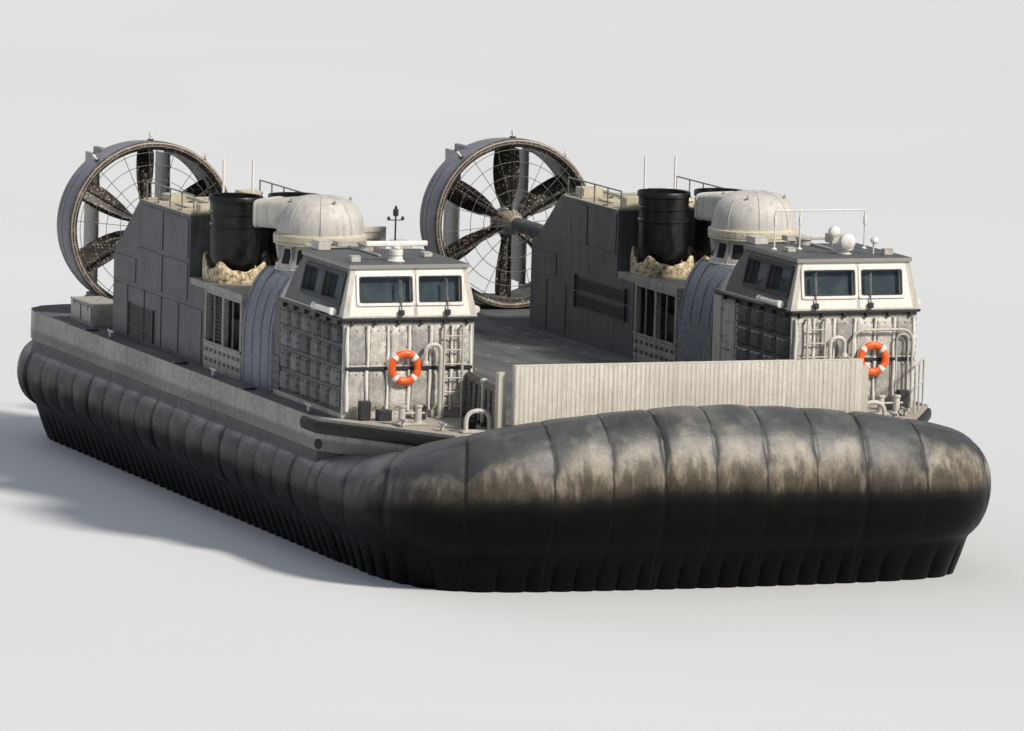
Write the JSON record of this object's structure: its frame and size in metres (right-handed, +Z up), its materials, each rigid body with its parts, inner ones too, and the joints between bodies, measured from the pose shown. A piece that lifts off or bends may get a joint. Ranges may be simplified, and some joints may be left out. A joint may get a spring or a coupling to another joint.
{
  "type": "skirted landing hovercraft",
  "caption": "Skirted landing hovercraft: open cargo deck between side houses, bow and stern ramps, turning thruster nozzles, ducted propellers with rudders.",
  "frame": {"origin": "on the ground under the middle of the craft, at the height of the skirt's hem", "axes": "+X to the bow, +Y to port, +Z up"},
  "size_m": [27.9987, 14.5996, 7.6],
  "materials": {
    "haze_grey_paint": "weathered matt marine paint",
    "pale_grey_paint": "weathered matt marine paint",
    "dark_grey_paint": "weathered matt marine paint",
    "skirt_rubber": "coated fabric, wet at the foot, scuffed",
    "sooted_steel": "sooted satin black",
    "composite_blade": "satin, speckled with salt",
    "tinted_glass": "polished",
    "life_ring_orange": "matt",
    "white_enamel": "gloss enamel",
    "seat_cloth": "woven"
  },
  "bodies": {
    "craft": {"hull": "haze_grey_paint", "bow_skirt": "skirt_rubber", "stern_skirt": "skirt_rubber", "port_side_skirt": "skirt_rubber", "starboard_side_skirt": "skirt_rubber", "keel_bags": "skirt_rubber", "port_bow_fender": "skirt_rubber", "starboard_bow_fender": "skirt_rubber", "port_bow_bulwark": "haze_grey_paint", "starboard_bow_bulwark": "haze_grey_paint", "port_cabin": "pale_grey_paint", "starboard_cabin": "pale_grey_paint", "port_cabin_glass": "tinted_glass", "starboard_cabin_glass": "tinted_glass", "port_cockpit_console": "dark_grey_paint", "starboard_cockpit_console": "dark_grey_paint", "port_cockpit_seats": "seat_cloth", "starboard_cockpit_seats": "seat_cloth", "port_cabin_ladder": "haze_grey_paint", "starboard_cabin_ladder": "haze_grey_paint", "port_life_ring": "life_ring_orange", "starboard_life_ring": "life_ring_orange", "port_fan_casing": "dark_grey_paint", "starboard_fan_casing": "dark_grey_paint", "port_thruster_neck": "pale_grey_paint", "starboard_thruster_neck": "pale_grey_paint", "port_engine_bay": "haze_grey_paint", "starboard_engine_bay": "haze_grey_paint", "port_engines": "dark_grey_paint", "starboard_engines": "dark_grey_paint", "port_inboard_exhaust": "sooted_steel", "port_outboard_exhaust": "sooted_steel", "starboard_inboard_exhaust": "sooted_steel", "starboard_outboard_exhaust": "sooted_steel", "port_intake_house": "dark_grey_paint", "starboard_intake_house": "dark_grey_paint", "port_aft_locker": "haze_grey_paint", "starboard_aft_locker": "haze_grey_paint", "port_propeller_duct": "dark_grey_paint", "starboard_propeller_duct": "dark_grey_paint", "port_whip_aerials": "white_enamel", "starboard_whip_aerials": "white_enamel", "aerial_frame": "white_enamel", "searchlight": "white_enamel", "masthead_pole": "dark_grey_paint", "radar_pedestal": "white_enamel"},
    "bow_ramp": {"bow_ramp": "pale_grey_paint"},
    "stern_ramp": {"stern_ramp": "haze_grey_paint"},
    "port_propeller": {"port_propeller": "composite_blade"},
    "starboard_propeller": {"starboard_propeller": "composite_blade"},
    "port_inboard_rudder": {"port_inboard_rudder": "haze_grey_paint"},
    "port_outboard_rudder": {"port_outboard_rudder": "haze_grey_paint"},
    "starboard_inboard_rudder": {"starboard_inboard_rudder": "haze_grey_paint"},
    "starboard_outboard_rudder": {"starboard_outboard_rudder": "haze_grey_paint"},
    "port_nozzle": {"port_thruster_nozzle": "pale_grey_paint"},
    "starboard_nozzle": {"starboard_thruster_nozzle": "pale_grey_paint"},
    "port_door": {"port_cabin_door": "haze_grey_paint"},
    "starboard_door": {"starboard_cabin_door": "haze_grey_paint"},
    "radar": {"radar_scanner": "white_enamel"}
  },
  "joints": [
    {"name": "bow_ramp_hinge", "type": "hinge", "parent": "craft", "child": "bow_ramp", "pos_m": [11.5, 0, 2.62], "axis": [0, 1, 0], "range_deg": [0, 120], "deforming": ["bow_skirt"]},
    {"name": "stern_ramp_hinge", "type": "hinge", "parent": "craft", "child": "stern_ramp", "pos_m": [-12.95, 0, 2.9], "axis": [0, -1, 0], "range_deg": [0, 110]},
    {"name": "port_propeller_spin", "type": "hinge", "parent": "craft", "child": "port_propeller", "pos_m": [-10.98, 4.583, 5.165], "axis": [1, 0, 0], "continuous": true},
    {"name": "starboard_propeller_spin", "type": "hinge", "parent": "craft", "child": "starboard_propeller", "pos_m": [-10.98, -4.583, 5.165], "axis": [1, 0, 0], "continuous": true},
    {"name": "port_rudders", "type": "hinge", "parent": "craft", "child": "port_inboard_rudder", "pos_m": [-12, 3.703, 5.165], "axis": [0, 0, 1], "range_deg": [-30, 30]},
    {"name": "port_outboard_rudder_link", "type": "hinge", "parent": "craft", "child": "port_outboard_rudder", "pos_m": [-12, 5.463, 5.165], "axis": [0, 0, 1], "range_deg": [-30, 30]},
    {"name": "starboard_rudders", "type": "hinge", "parent": "craft", "child": "starboard_inboard_rudder", "pos_m": [-12, -3.703, 5.165], "axis": [0, 0, 1], "range_deg": [-30, 30]},
    {"name": "starboard_outboard_rudder_link", "type": "hinge", "parent": "craft", "child": "starboard_outboard_rudder", "pos_m": [-12, -5.463, 5.165], "axis": [0, 0, 1], "range_deg": [-30, 30]},
    {"name": "port_nozzle_turn", "type": "hinge", "parent": "craft", "child": "port_nozzle", "pos_m": [2.74, 5.17, 6.22], "axis": [0, 0, 1], "continuous": true},
    {"name": "starboard_nozzle_turn", "type": "hinge", "parent": "craft", "child": "starboard_nozzle", "pos_m": [2.74, -5.17, 6.22], "axis": [0, 0, 1], "continuous": true},
    {"name": "port_door_hinge", "type": "hinge", "parent": "craft", "child": "port_door", "pos_m": [5.335, 3.658, 4.16], "axis": [0, 0, 1], "range_deg": [0, 100]},
    {"name": "starboard_door_hinge", "type": "hinge", "parent": "craft", "child": "starboard_door", "pos_m": [5.335, -3.658, 4.16], "axis": [0, 0, -1], "range_deg": [0, 100]},
    {"name": "radar_spin", "type": "hinge", "parent": "craft", "child": "radar", "pos_m": [7.7, -5.25, 6.65], "axis": [0, 0, 1], "continuous": true}
  ],
  "couplings": [
    {"joint": "port_outboard_rudder_link", "follows": "port_rudders", "ratio": 1},
    {"joint": "starboard_outboard_rudder_link", "follows": "starboard_rudders", "ratio": 1}
  ]
}
